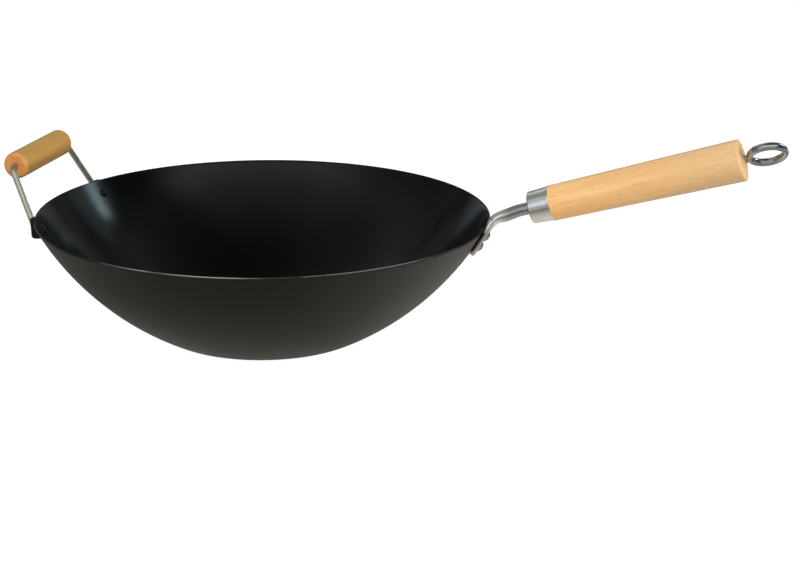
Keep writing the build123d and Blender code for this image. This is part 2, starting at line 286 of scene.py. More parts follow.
outside = bowl_wall(0, rim_angle - lip_round / wall_bow)
inside = bowl_wall(sheet, rim_angle - lip_round / (wall_bow - sheet))
lip_turn = rim_angle + pi / 2
rim_out = Vector((cos(rim_angle), sin(rim_angle)))
down_wall = Vector((sin(rim_angle), -cos(rim_angle))) * lip_round
outer_round = bow_centre + rim_out * (wall_bow - lip_round) + down_wall
inner_round = bow_centre + rim_out * (wall_bow - sheet + lip_round) + down_wall
lip = (
    arc(outer_round, lip_round, rim_angle, lip_turn)
    + arc(inner_round, lip_round, lip_turn, lip_turn + pi / 2)
)
bowl_outline = spread(outside + lip[1:-1] + inside[::-1], bowl_run)
bowl = turned_piece("pressed_bowl", bowl_outline, bowl_steps, coating_outside)
bowl.data.materials.append(coating_inside)
bowl.data.materials.append(lip_steel_with_painted_highlight())
inside_slot, lip_slot = 1, 2
lip_start = bowl_height - 2 * lip_round
lip_upward = 0.6
for face in bowl.data.polygons:
    if face.center.z > lip_start and face.normal.z > lip_upward:
        face.material_index = lip_slot
    elif face.normal.z > 0:
        face.material_index = inside_slot
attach(bowl, "wok")
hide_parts("wok_body")


# Rod of the long handle: one bar of 9.6 mm steel, bright plated. Its inner end is forged flat for the
# rivets and bent down over the rim, and its outer end is a tang inside the wood, tapped for the eye bolt.
handle_tilt = radians(16.9)
handle_rise = 9.7 * MM
rod_diameter = 9.6 * MM
rod_dip = radians(8.0)
rod_dip_reach = 27.0 * MM
rod_dip_bend = 30.0 * MM
wood_setback = 54.2 * MM
tang_depth = 25.0 * MM
shank_diameter = 6.0 * MM
thread_engagement = 14.0 * MM
thread_runout = 4.0 * MM
neck_width = 12.5 * MM
neck_thickness = 8.0 * MM
neck_reach = 9.0 * MM
foot_width = 18.0 * MM
foot_thickness = 3.7 * MM
foot_edge = 1.5 * MM
foot_drop = 9.0 * MM
foot_below = 12.0 * MM
foot_above = 11.5 * MM
seat_gap = 0.05 * MM
rod_steps = 48
rod_crease = radians(50)

# How square a section is: 2 gives an ellipse, and more gives it flatter sides
round_section = 2.0
flat_section = 5.0

# The wood starts at its setback from the rim, along the handle, and the tang ends inside it
tang_end = wood_setback + tang_depth
tapped_depth = thread_engagement + thread_runout
tapped_diameter = shank_diameter + 2 * seat_gap
handle_start = Vector((rim_radius, 0, bowl_height + handle_rise))
handle_direction = Vector((cos(handle_tilt), 0, sin(handle_tilt)))
dip_direction = Vector((cos(handle_tilt + rod_dip), 0, sin(handle_tilt + rod_dip)))
level = Vector((0, 1, 0))


def wall_touch(height):
    """A place on the wall under the handle: its point, the way up the slope, and the way out."""
    radius = bow_centre.x + sqrt(wall_bow**2 - (bow_centre.y - height) ** 2)
    out_r, out_z = (radius - bow_centre.x) / wall_bow, (height - bow_centre.y) / wall_bow
    return Vector((radius, 0, height)), Vector((-out_z, 0, out_r)), Vector((out_r, 0, out_z))


foot_point, foot_up, foot_out = wall_touch(bowl_height - foot_drop)
foot_middle = foot_point + foot_out * (seat_gap + foot_thickness / 2)
dip_corner = handle_start + handle_direction * rod_dip_reach
dip_gap = dip_corner - foot_middle
bend_reach = (dip_gap.x * dip_direction.z - dip_gap.z * dip_direction.x) / (
    foot_up.x * dip_direction.z - foot_up.z * dip_direction.x
)
bend_corner = foot_middle + foot_up * bend_reach
neck_foot = foot_middle + foot_up * foot_above
neck_top = bend_corner + dip_direction * neck_reach
rivet_low = foot_width / 2 - foot_below


def rod_ring(centre, along, half_width, half_thickness, squareness):
    """One closed section of the rod, square to its line: round, oval or flat."""
    outward = level.cross(along)
    ring = []
    for i in range(rod_steps):
        angle = 2 * pi * i / rod_steps
        across, up = cos(angle), sin(angle)
        across = abs(across) ** (2 / squareness) * (1 if across > 0 else -1)
        up = abs(up) ** (2 / squareness) * (1 if up > 0 else -1)
        ring.append(centre + level * half_width * across + outward * half_thickness * up)
    return ring


def skin(rings):
    """Faces between rings of points, with both ends closed."""
    count = len(rings[0])
    faces = [
        (r * count + i, r * count + (i + 1) % count, (r + 1) * count + (i + 1) % count, (r + 1) * count + i)
        for r in range(len(rings) - 1) for i in range(count)
    ]
    last = (len(rings) - 1) * count
    return faces + [tuple(range(count)), tuple(range(last, last + count))]


def ease(share):
    """A share from 0 to 1 that starts and stops gently."""
    return share * share * (3 - 2 * share)


def hermite(start, start_way, end, end_way, share):
    """A point and its direction on a smooth bend between two points."""
    length = (end - start).length
    s2, s3 = share**2, share**3
    point = (
        start * (2 * s3 - 3 * s2 + 1) + end * (3 * s2 - 2 * s3)
        + (start_way * (s3 - 2 * s2 + share) + end_way * (s3 - s2)) * length
    )
    way = (
        (end - start) * (6 * share - 6 * s2)
        + (start_way * (3 * s2 - 4 * share + 1) + end_way * (3 * s2 - 2 * share)) * length
    )
    return point, way.normalized()


def foot_rings():
    """The flat foot, from its round lower end up to the neck, with its edges rounded."""
    rings = []
    tip_steps, run_steps = 14, 8
    tip_width = foot_edge / 10
    for i in range(tip_steps + 1):
        angle = pi / 2 * i / tip_steps
        back = foot_width / 2 * (1 - cos(angle))
        width = max(foot_width / 2 * sin(angle), tip_width)
        edge = max(0, foot_edge - back)
        half = foot_thickness / 2 - foot_edge + sqrt(foot_edge**2 - edge**2)
        place = foot_middle + foot_up * (rivet_low - foot_width / 2 + back)
        rings.append(rod_ring(place, foot_up, width, half, flat_section))
    for i in range(1, run_steps + 1):
        place = foot_middle + foot_up * (rivet_low + (foot_above - rivet_low) * i / run_steps)
        rings.append(rod_ring(place, foot_up, foot_width / 2, foot_thickness / 2, flat_section))
    return rings


def neck_rings():
    """The forged neck: flat, then oval on the bend over the rim, then round."""
    middle_way = (foot_up + dip_direction).normalized()
    flat = (foot_width, foot_thickness, flat_section)
    oval = (neck_width, neck_thickness, round_section)
    full = (rod_diameter, rod_diameter, round_section)
    rings = []
    span_steps = 12
    for start, start_way, end, end_way, first, last in (
        (neck_foot, foot_up, bend_corner, middle_way, flat, oval),
        (bend_corner, middle_way, neck_top, dip_direction, oval, full),
    ):
        for i in range(1, span_steps + 1):
            share = i / span_steps
            place, way = hermite(start, start_way, end, end_way, share)
            width, thickness, squareness = (a + (b - a) * ease(share) for a, b in zip(first, last))
            rings.append(rod_ring(place, way, width / 2, thickness / 2, squareness))
    return rings


def tang_rings():
    """The round bar, from the neck through its slight dip into the wood, and its tapped bore."""
    setback = rod_dip_bend * tan(rod_dip / 2)
    bend_start = dip_corner - dip_direction * setback
    bend_end = dip_corner + handle_direction * setback
    centre = bend_start + level.cross(dip_direction) * rod_dip_bend
    end = handle_start + handle_direction * tang_end
    straight_steps, bend_steps, tang_steps = 4, 5, 14
    line = []
    for i in range(1, straight_steps + 1):
        line.append((neck_top.lerp(bend_start, i / straight_steps), dip_direction))
    for i in range(1, bend_steps + 1):
        turned = Quaternion(level, rod_dip * i / bend_steps)
        line.append((centre + turned @ (bend_start - centre), turned @ dip_direction))
    for i in range(1, tang_steps + 1):
        line.append((bend_end.lerp(end, i / tang_steps), handle_direction))
    half, bore = rod_diameter / 2, tapped_diameter / 2
    rings = [rod_ring(place, way, half, half, round_section) for place, way in line]
    for depth in (0, tapped_depth):
        rings.append(rod_ring(end - handle_direction * depth, handle_direction, bore, bore, round_section))
    return rings


def mirror_plate(name, tones, roughness, depth):
    """Plate over a forged or drawn part: a mirror with faint waves and soft wear."""
    wear, waves = (9 * MM, 3.0), (5 * MM, 1.0)
    return clouded_finish(name, {"Metallic": 1.0}, tones, roughness, wear, waves, depth)


def tint(tree, base, hex_code, value, start, full, most=1.0):
    """Mixes a colour into a colour or socket by a value: none of it at the start, and the most when full."""
    reach = {"From Min": start, "From Max": full, "To Max": most}
    tones = {"data_type": "RGBA", MIX_B: colour(hex_code)}
    links = {"Factor": add_node(tree, "ShaderNodeMapRange", reach, {"Value": value}).outputs["Result"]}
    if isinstance(base, str):
        tones[MIX_A] = colour(base)
    else:
        links[MIX_A] = base
    return add_node(tree, "ShaderNodeMix", tones, links).outputs[MIX_RESULT]


def paint_light_on_bar_end(material):
    """Paints light and shade on a bar's plate towards its forged end: a pale painted highlight on the bend
    over the rim, and painted shade on the foot.
    """
    tree = material.node_tree
    base = tree.nodes["Principled BSDF"].inputs["Base Color"]
    place = add_node(tree, "ShaderNodeTexCoord").outputs["Object"]
    parts = add_node(tree, "ShaderNodeSeparateXYZ", links={"Vector": place}).outputs
    # Each axis, where the tone starts, where it is full, and the painted tone: highlight on the bend, shade
    # on the foot
    for axis, away, full, tone in (
        ("X", rim_radius + 20 * MM, rim_radius + 8 * MM, "EAEBEC"),
        ("Z", bowl_height + 5 * MM, bowl_height - 1 * MM, "B4B0AF"),
    ):
        tree.links.new(tint(tree, base.links[0].from_socket, tone, parts[axis], away, full), base)


# Chromium over a bar that was not polished first: a grey mirror, a little blurred
bar_chromium = mirror_plate(
    "chromium_plate_on_forged_bar", tones=("8C8F92", "A8AAAA"), roughness=(0.12, 0.24), depth=0.1 * MM
)
# Painted highlight on the rod's bend and painted shade on its foot
paint_light_on_bar_end(bar_chromium)
rod_sections = foot_rings() + neck_rings() + tang_rings()
rod = new_piece("handle_bar", [p for ring in rod_sections for p in ring], faces=skin(rod_sections))
rod.data.materials.append(bar_chromium)
face_outwards(rod.data)
rod.data.shade_smooth()
rod.data.set_sharp_from_angle(angle=rod_crease)
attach(rod, "wok")
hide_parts("handle_rod")


# Two round-headed steel rivets that hold the foot of the rod to the wall, one above the other.
# Their outer heads are bare, with the dull, slightly beaten look of a closed rivet, and the inner heads
# carry the black of the inside.
rivet_diameter = 5.0 * MM
rivet_head_diameter = 8.4 * MM
rivet_head_rise = 2.0 * MM
rivet_spacing = 10.0 * MM
rivet_count = 2
rivet_steps = 48
small_run = 1.0 * MM
small_arc = 0.5 * MM


def dome(seat, rise, head_radius, shank_radius):
    """Outline of a round head from its crown down to the shank; rise is minus for a head that points down."""
    ball = (head_radius**2 + rise**2) / (2 * abs(rise))
    side = 1 if rise > 0 else -1
    centre = Vector((0, seat + rise - side * ball))
    edge = pi / 2 - atan2(head_radius, ball - abs(rise))
    return arc(centre, ball, side * pi / 2, side * edge, small_arc) + [Vector((shank_radius, seat))]


def rivet_outline():
    """A closed rivet about its own axis: height 0 is where the plane of the foot touches the wall."""
    head, shank = rivet_head_diameter / 2, rivet_diameter / 2
    inner = -(sheet + seat_gap + wall_bow - sqrt(wall_bow**2 - (rivet_spacing / 2 + head) ** 2))
    inner_head = dome(inner, -rivet_head_rise, head, shank)
    outer_head = dome(foot_thickness + 2 * seat_gap, rivet_head_rise, head, shank)
    return spread(inner_head + outer_head[::-1], small_run)


def setting_tree():
    """Sets a copy of one turned piece at each point of a mesh, along a direction."""
    sizes = {"Piece": "NodeSocketObject", "Direction": "NodeSocketVector"}
    tree, given = new_shape_tree("set_rivets", sizes)
    shape = add_node(tree, "GeometryNodeObjectInfo", links={"Object": given["Piece"]})
    aim = {"Vector": given["Direction"]}
    aimed = add_node(tree, "FunctionNodeAlignRotationToVector", {"axis": "Z"}, aim).outputs["Rotation"]
    copies = {"Points": given["Geometry"], "Instance": shape.outputs["Geometry"], "Rotation": aimed}
    placed = add_node(tree, "GeometryNodeInstanceOnPoints", links=copies)
    end_shape_tree(tree, given, placed.outputs["Instances"])
    return tree


def brushed_steel(name, tones, roughness, beat):
    """Plain steel that is handled but not polished, with soft dents from its forming."""
    dents, dent_depth = (beat, 4.0), 0.05 * MM
    return clouded_finish(name, {"Metallic": 1.0}, tones, roughness, dents, dents, dent_depth)


# Bare rivet steel: grey, and dulled where the hammer closed it
rivet_steel = brushed_steel(
    "plain_rivet_steel", tones=("7E7C78", "A6A4A0"), roughness=(0.28, 0.42), beat=1.5 * MM
)
one_rivet = turned_piece("one_rivet", rivet_outline(), rivet_steps, rivet_steel)
rivet_points = [foot_point + foot_up * (rivet_low + i * rivet_spacing) for i in range(rivet_count)]
rivets = new_piece("foot_rivets", rivet_points)
bake_shape(rivets, setting_tree(), {"Piece": one_rivet, "Direction": foot_out, "Material": rivet_steel})
bpy.data.objects.remove(one_rivet)
rivets.data.materials.append(coating_inside)
inner_head_slot = 1
for face in rivets.data.polygons:
    if (face.center - foot_point).dot(foot_out) < -sheet:
        face.material_index = inner_head_slot
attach(rivets, "wok")
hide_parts("handle_rivet_upper", "handle_rivet_lower")


# Ferrule: a tapered cup drawn from 1.1 mm steel, with a rolled bead at its mouth. It is bright plated
# like the rod that it slides on, and it holds the spigot of the wood.
ferrule_length = 17.0 * MM
ferrule_front_radius = 12.3 * MM
ferrule_back_radius = 13.3 * MM
ferrule_wall = 1.1 * MM
ferrule_corner = 0.8 * MM
ferrule_bead_width = 1.8 * MM
ferrule_bead_rise = 0.25 * MM
ferrule_bead_round = 0.2 * MM
ferrule_steps = 96
ferrule_start = wood_setback - ferrule_length
rod_bore_radius = rod_diameter / 2 + seat_gap
taper = (ferrule_back_radius - ferrule_front_radius) / ferrule_length


def rounded(corners, steps=6):
    """A closed outline of corners (radius, height, rounding), with each rounded corner made an arc."""
    outline = []
    for i, (x, y, rounding) in enumerate(corners):
        corner = Vector((x, y))
        back = (Vector(corners[i - 1][:2]) - corner).normalized()
        ahead = (Vector(corners[(i + 1) % len(corners)][:2]) - corner).normalized()
        if not rounding:
            outline.append(corner)
            continue
        half = acos(back.dot(ahead)) / 2
        centre = corner + (back + ahead).normalized() * rounding / sin(half)
        first = corner + back * rounding / tan(half) - centre
        last = corner + ahead * rounding / tan(half) - centre
        for j in range(steps + 1):
            outline.append(centre + first.lerp(last, j / steps).normalized() * rounding)
    return outline


def on_handle():
    """The place of a piece that is turned about the handle's axis: heights run outwards from the rim."""
    upward = handle_direction.cross(level)
    columns = Matrix((upward, handle_direction.cross(upward), handle_direction)).transposed()
    return Matrix.Translation(handle_start) @ columns.to_4x4()


# Chromium over smooth drawn steel: paler and brighter than on the bar
cup_chromium = mirror_plate(
    "chromium_plate_on_drawn_cup", tones=("C6C8CA", "E2E3E2"), roughness=(0.12, 0.24), depth=0.1 * MM
)
bead_start = wood_setback - ferrule_bead_width
ferrule_outline = rounded([
    (rod_bore_radius, ferrule_start, 0),
    (ferrule_front_radius, ferrule_start, ferrule_corner),
    (ferrule_back_radius - taper * ferrule_bead_width, bead_start, 0),
    (ferrule_back_radius + ferrule_bead_rise, bead_start, ferrule_bead_round),
    (ferrule_back_radius + ferrule_bead_rise, wood_setback, ferrule_bead_round),
    (ferrule_back_radius - ferrule_wall, wood_setback, 0),
    (ferrule_front_radius - ferrule_wall + taper * ferrule_wall, ferrule_start + ferrule_wall, 0),
    (rod_bore_radius, ferrule_start + ferrule_wall, 0),
])
ferrule_outline = spread(ferrule_outline, small_run, closed=True)
ferrule = turned_piece(
    "plated_ferrule", ferrule_outline, ferrule_steps, cup_chromium, on_handle(), closed=True
)
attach(ferrule, "wok")
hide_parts("handle_ferrule")


# Long handle: one length of pale beech, turned to a slight taper with a domed end, bored for the tang
# and the eye bolt, sanded and clear lacquered. The grain runs along it.
wood_length = 148.6 * MM
wood_front_radius = 13.6 * MM
wood_end_radius = 15.8 * MM
wood_end_rise = 1.8 * MM
wood_end_round = 1.8 * MM
shank_clearance = 0.3 * MM
wood_steps = 96
wood_run = 3.0 * MM
wood_end = wood_setback + wood_length
shank_bore_radius = shank_diameter / 2 + shank_clearance


def end_dome():
    """The rounded edge and shallow dome of the handle's outer end, in to the bore."""
    ball = (wood_end_radius**2 + wood_end_rise**2) / (2 * wood_end_rise)
    centre = Vector((0, wood_end - ball))
    round_r = wood_end_radius - wood_end_round
    round_centre = Vector((round_r, centre.y + sqrt((ball - wood_end_round) ** 2 - round_r**2)))
    lean = atan2(round_centre.y - centre.y, round_r)
    bore = acos(shank_bore_radius / ball)
    return arc(round_centre, wood_end_round, 0, lean, small_arc) + arc(centre, ball, lean, bore)[1:]


def turned_wood(name, tones, streak, flecks, far_end, lacquer, laid):
    """Close-grained wood under clear lacquer: fine streaks and short dark flecks along the piece.

    The pattern runs along X, so it is first laid along the piece. Far out along X it fades to the tone
    of the far end. Its flecks are coarser than real ones, so that they show in the render.
    """
    settings = {"Roughness": 0.45, "Coat Weight": lacquer, "Coat Roughness": 0.28, "Specular IOR Level": 0.35}
    material, tree, shader = new_material(name, settings)
    place = add_node(tree, "ShaderNodeTexCoord").outputs["Object"]
    along = add_node(tree, "ShaderNodeMapping", {"Rotation": laid}, {"Vector": place}).outputs["Vector"]
    distance = add_node(tree, "ShaderNodeSeparateXYZ", links={"Vector": along}).outputs["X"]
    # Length, width and kind of the grain, of the broad drift of its tone, and of the flecks
    patterns = []
    for length, width, kind in (
        (45 * MM, 1.1 * MM, {"Detail": 4.0, "Roughness": 0.6}),
        (160 * MM, 7 * MM, {"Detail": 2.0, "Distortion": 0.4}),
        (6 * MM, 0.45 * MM, {"Detail": 1.0}),
    ):
        size = {"Scale": (1 / length, 1 / width, 1 / width)}
        drawn_out = add_node(tree, "ShaderNodeMapping", size, {"Vector": along}).outputs["Vector"]
        noise = add_node(tree, "ShaderNodeTexNoise", {"Scale": 1.0, **kind}, {"Vector": drawn_out})
        patterns.append(noise.outputs["Fac"])
    grain, broad, short = patterns
    tone = tones[0]
    for mixed_in, value, start, full, most in (
        (tones[1], broad, 0.3, 0.7, 1.0),
        (far_end, distance, 260 * MM, 400 * MM, 0.9),
        (streak, grain, 0.45, 0.75, 0.55),
        (flecks, short, 0.62, 0.72, 0.35),
    ):
        tone = tint(tree, tone, mixed_in, value, start, full, most)
    tree.links.new(tone, shader.inputs["Base Color"])
    bump = add_node(tree, "ShaderNodeBump", {"Distance": 0.03 * MM}, {"Height": grain})
    tree.links.new(bump.outputs["Normal"], shader.inputs["Normal"])
    return material


# Beech under satin lacquer: warm and pale, and greyer towards the domed end
beech = turned_wood(
    "lacquered_beech", tones=("F0BF84", "E8AE6B"), streak="CB9150", flecks="86582C", far_end="DAB688",
    lacquer=0.3, laid=(0, handle_tilt, 0),
)
spigot_start = ferrule_start + ferrule_wall + seat_gap
spigot_back = ferrule_back_radius - ferrule_wall - seat_gap
spigot_front = spigot_back - taper * (wood_setback - spigot_start)
wood_outline = spread([
    Vector((rod_bore_radius, spigot_start)),
    Vector((spigot_front, spigot_start)),
    Vector((spigot_back, wood_setback + seat_gap)),
    Vector((wood_front_radius, wood_setback + seat_gap)),
    *end_dome(),
    Vector((shank_bore_radius, tang_end + seat_gap)),
    Vector((rod_bore_radius, tang_end + seat_gap)),
], wood_run, closed=True)
handle = turned_piece("wooden_handle", wood_outline, wood_steps, beech, on_handle(), closed=True)
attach(handle, "wok")
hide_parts("handle_wood")


# Eye bolt: a ring of oval section on a long shank, forged in one and nickel plated. It goes through
# the wood and screws into the tang, so it clamps the handle together and hangs it up.
eye_diameter = 31.0 * MM
eye_section = 4.8 * MM
eye_section_width = 6.2 * MM
eye_standoff = 1.0 * MM
eye_roll = radians(53.0)
shank_run = 4.0 * MM
shank_steps = 48
eye_steps = 96
section_steps = 32


def eye_tree():
    """A ring swept round from its section, with a plain shank joined on."""
    sizes = {"Ring Radius": "NodeSocketFloat", "Ring Steps": "NodeSocketInt", "Shank": "NodeSocketObject"}
    tree, given = new_shape_tree("eye_and_shank", sizes)
    ring_size = {"Radius": given["Ring Radius"], "Resolution": given["Ring Steps"]}
    ring = add_node(tree, "GeometryNodeCurvePrimitiveCircle", links=ring_size)
    section = add_node(tree, "GeometryNodeMeshToCurve", links={"Mesh": given["Geometry"]})
    sweep = {"Curve": ring.outputs["Curve"], "Profile Curve": section.outputs["Curve"]}
    eye = add_node(tree, "GeometryNodeCurveToMesh", links=sweep)
    shank = add_node(tree, "GeometryNodeObjectInfo", links={"Object": given["Shank"]})
    joined = add_node(tree, "GeometryNodeMeshBoolean", {"operation": "UNION", "solver": "EXACT"})
    tree.links.new(eye.outputs["Mesh"], joined.inputs["Mesh 2"])
    tree.links.new(shank.outputs["Geometry"], joined.inputs["Mesh 2"])
    end_shape_tree(tree, given, joined.outputs["Mesh"])
    return tree


shank_radius = shank_diameter / 2
shank_end = tang_end - thread_engagement
eye_ring_radius = (eye_diameter - eye_section) / 2
eye_centre = wood_end + eye_standoff + eye_diameter / 2
handle_up = handle_direction.cross(level)
eye_normal = -level * cos(eye_roll) - handle_up * sin(eye_roll)
eye_place = Matrix.Translation(handle_start + handle_direction * eye_centre) @ Matrix(
    (handle_direction, eye_normal.cross(handle_direction), eye_normal)
).transposed().to_4x4()
shank_outline = spread([
    Vector((0, shank_end)),
    Vector((shank_radius, shank_end)),
    Vector((shank_radius, eye_centre - eye_ring_radius)),
    Vector((0, eye_centre - eye_ring_radius)),
], shank_run)
shank = turned_piece("eye_shank", shank_outline, shank_steps, None, eye_place.inverted() @ on_handle())
section_turns = [2 * pi * i / section_steps for i in range(section_steps)]
section_ring = [(eye_section / 2 * cos(a), eye_section_width / 2 * sin(a)) for a in section_turns]
eye = new_piece("hanging_eye", section_ring, [(i, (i + 1) % section_steps) for i in range(section_steps)])
# Nickel over forged steel: a mirror a little greyer than the ferrule's, and wavier
nickel = mirror_plate(
    "dull_nickel_plate", tones=("9A9EA0", "BEC1C0"), roughness=(0.10, 0.20), depth=0.15 * MM
)
eye_sizes = {"Ring Radius": eye_ring_radius, "Ring Steps": eye_steps, "Shank": shank, "Material": nickel}
bake_shape(eye, eye_tree(), eye_sizes, eye_place)
bpy.data.objects.remove(shank)
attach(eye, "wok")
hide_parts("eye_bolt")


# Lugs of the helper handle: two steel wedges on the outside of the wall, each with a socket for the wire
# and a tenon headed over inside the bowl. They are blacked with the bowl, in the same baking.
lug_weld = 0.001 * MM
lug_crease = radians(30)


def smooth_copy(node, name, material):
    """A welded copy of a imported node, smooth but for its real edges."""
    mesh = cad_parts[node].data.copy()
    mesh.name = name
    piece = bpy.data.objects.new(name, mesh)
    bpy.context.scene.collection.objects.link(piece)
    welded = bmesh.new()
    welded.from_mesh(mesh)
    bmesh.ops.remove_doubles(welded, verts=welded.verts, dist=lug_weld)
    welded.to_mesh(mesh)
    welded.free()
    if mesh.has_custom_normals:
        mesh.attributes.remove(mesh.attributes["custom_normal"])
    mesh.materials.clear()
    mesh.materials.append(material)
    mesh.shade_smooth()
    mesh.set_sharp_from_angle(angle=lug_crease)
    return piece


# Between the bowl's two sides in gloss, and nearly as dark as its inside
lug_black = baked_coating(
    "satin_black_lug_coating", tones=("080808", "0F0F0E"), roughness=(0.28, 0.42), shine=0.25,
    cloud=12 * MM, grain=0.7 * MM, depth=0.02 * MM,
)
for side_name in ("left", "right"):
    lug = smooth_copy(f"helper_lug_{side_name}", f"wire_lug_{side_name}", lug_black)
    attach(lug, "wok")
    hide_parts(f"helper_lug_{side_name}")


# Wire of the helper handle: one length of drawn 4.8 mm steel, bent down at both ends of the grip.
# Its spring holds the two ends in the lugs, and it has a plain satin plating.
grip_overhang = 11.6 * MM
grip_rise = 35.75 * MM
grip_play = 0.8 * MM
wire_diameter = 4.8 * MM
wire_bend = 7.0 * MM
wire_spread = 59.4 * MM
wire_rim_gap = 0.3 * MM
socket_depth = 12.0 * MM
grip_low, grip_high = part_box("helper_grip")
grip_length = grip_high.y - grip_low.y
wire_steps = 32
bend_points = 12

grip_x = -(rim_radius + grip_overhang)
grip_z = bowl_height + grip_rise
rim_lean = (rim_radius - bow_centre.x) / wall_bow
pass_radius = rim_radius + (wire_diameter / 2 + wire_rim_gap) / rim_lean
leg_run = -sqrt(pass_radius**2 - wire_spread**2) - grip_x
leg_fall = hypot(leg_run, grip_rise)
leg_down = Vector((leg_run, 0, -grip_rise)) / leg_fall
straight_half = grip_length / 2 + grip_play
bend_span = hypot(wire_spread - straight_half, leg_fall - wire_bend)
leg_splay = atan2(wire_spread - straight_half, leg_fall - wire_bend) - asin(wire_bend / bend_span)
wire_corner = wire_spread - leg_fall * tan(leg_splay)
leg_length = (leg_fall - socket_depth / leg_down.z) / cos(leg_splay)


def leg_point(side, distance):
    """A point on one leg of the wire, at a distance down from its corner at the grip."""
    down = leg_down * cos(leg_splay) + level * side * sin(leg_splay)
    return Vector((grip_x, side * wire_corner, grip_z)) + down * distance


def wire_tree():
    """A round wire along a path of straight runs, with a bend of one radius at each corner."""
    sizes = {
        "Wire Radius": "NodeSocketFloat", "Bend Radius": "NodeSocketFloat", "Bend Points": "NodeSocketInt",
        "Section Steps": "NodeSocketInt",
    }
    tree, given = new_shape_tree("bent_wire", sizes)
    path = add_node(tree, "GeometryNodeMeshToCurve", links={"Mesh": given["Geometry"]})
    bends = {"Curve": path.outputs["Curve"], "Radius": given["Bend Radius"], "Count": given["Bend Points"]}
    bent = add_node(tree, "GeometryNodeFilletCurve", {"mode": "POLY"}, bends)
    round_size = {"Radius": given["Wire Radius"], "Resolution": given["Section Steps"]}
    section = add_node(tree, "GeometryNodeCurvePrimitiveCircle", links=round_size)
    sweep = {"Curve": bent.outputs["Curve"], "Profile Curve": section.outputs["Curve"]}
    wire = add_node(tree, "GeometryNodeCurveToMesh", {"Fill Caps": True}, sweep)
    end_shape_tree(tree, given, wire.outputs["Mesh"])
    return tree


# Zinc on drawn wire: pale and a little yellow, with a satin gloss that shows no mirrored shapes
wire_steel = brushed_steel(
    "satin_plated_wire", tones=("B6B3A6", "D2CFC2"), roughness=(0.32, 0.44), beat=4.0 * MM
)
wire_points = [leg_point(1, leg_length), leg_point(1, 0), leg_point(-1, 0), leg_point(-1, leg_length)]
wire = new_piece("bent_wire", wire_points, [(i, i + 1) for i in range(len(wire_points) - 1)])
bake_shape(wire, wire_tree(), {
    "Wire Radius": wire_diameter / 2, "Bend Radius": wire_bend, "Bend Points": bend_points,
    "Section Steps": wire_steps, "Material": wire_steel,
})
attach(wire, "wok")
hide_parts("helper_bail")


# Helper grip: a bored dowel of beech with rounded ends, darker than the long handle as painted shade for the
# less light that reaches it.
# It turns freely on the wire, and its sawn ends drink more of the lacquer.
grip_radius = (grip_high.z - grip_low.z) / 2
grip_edge = 3.0 * MM
grip_bore_radius = 2.5 * MM
grip_run = 1.5 * MM
grip_steps = 96
grip_lacquer = 0.08
across_wok = (0, 0, -pi / 2)

# Beech under a thin coat, a little more olive: darker than the long handle as painted shade, duller, with its
# streaks drawn darker
shaded_grip_beech = turned_wood(
    "stained_beech", tones=("BC924A", "AC8240"), streak="926C30", flecks="684820", far_end="AC8240",
    lacquer=grip_lacquer, laid=across_wok,
)
# The same wood sawn across: more orange, because the open pores hold the lacquer
sawn_beech = turned_wood(
    "sawn_beech_end", tones=("DC9C5A", "C88245"), streak="985A28", flecks="70441E", far_end="C88245",
    lacquer=grip_lacquer, laid=across_wok,
)
end_place = grip_length / 2
grip_outline = spread(rounded([
    (grip_bore_radius, -end_place, 0),
    (grip_radius, -end_place, grip_edge),
    (grip_radius, end_place, grip_edge),
    (grip_bore_radius, end_place, 0),
]), grip_run, closed=True)
along_y = Matrix.Translation((grip_x, 0, grip_z)) @ Matrix.Rotation(-pi / 2, 4, "X")
grip = turned_piece("turning_grip", grip_outline, grip_steps, shaded_grip_beech, along_y, closed=True)
grip.data.materials.append(sawn_beech)
sawn_slot = 1
sawn_facing = 0.8
for face in grip.data.polygons:
    if abs(face.normal.y) > sawn_facing and abs(face.center.y) > end_place - grip_edge:
        face.material_index = sawn_slot
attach(grip, "grip")
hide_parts("helper_grip")


# Studio: a white paper floor that carries its own light, a pale room with dark sides for the plate to
# mirror, soft lamps and mirrored cards, and the camera where the photograph was taken from.
floor_half = 6.0


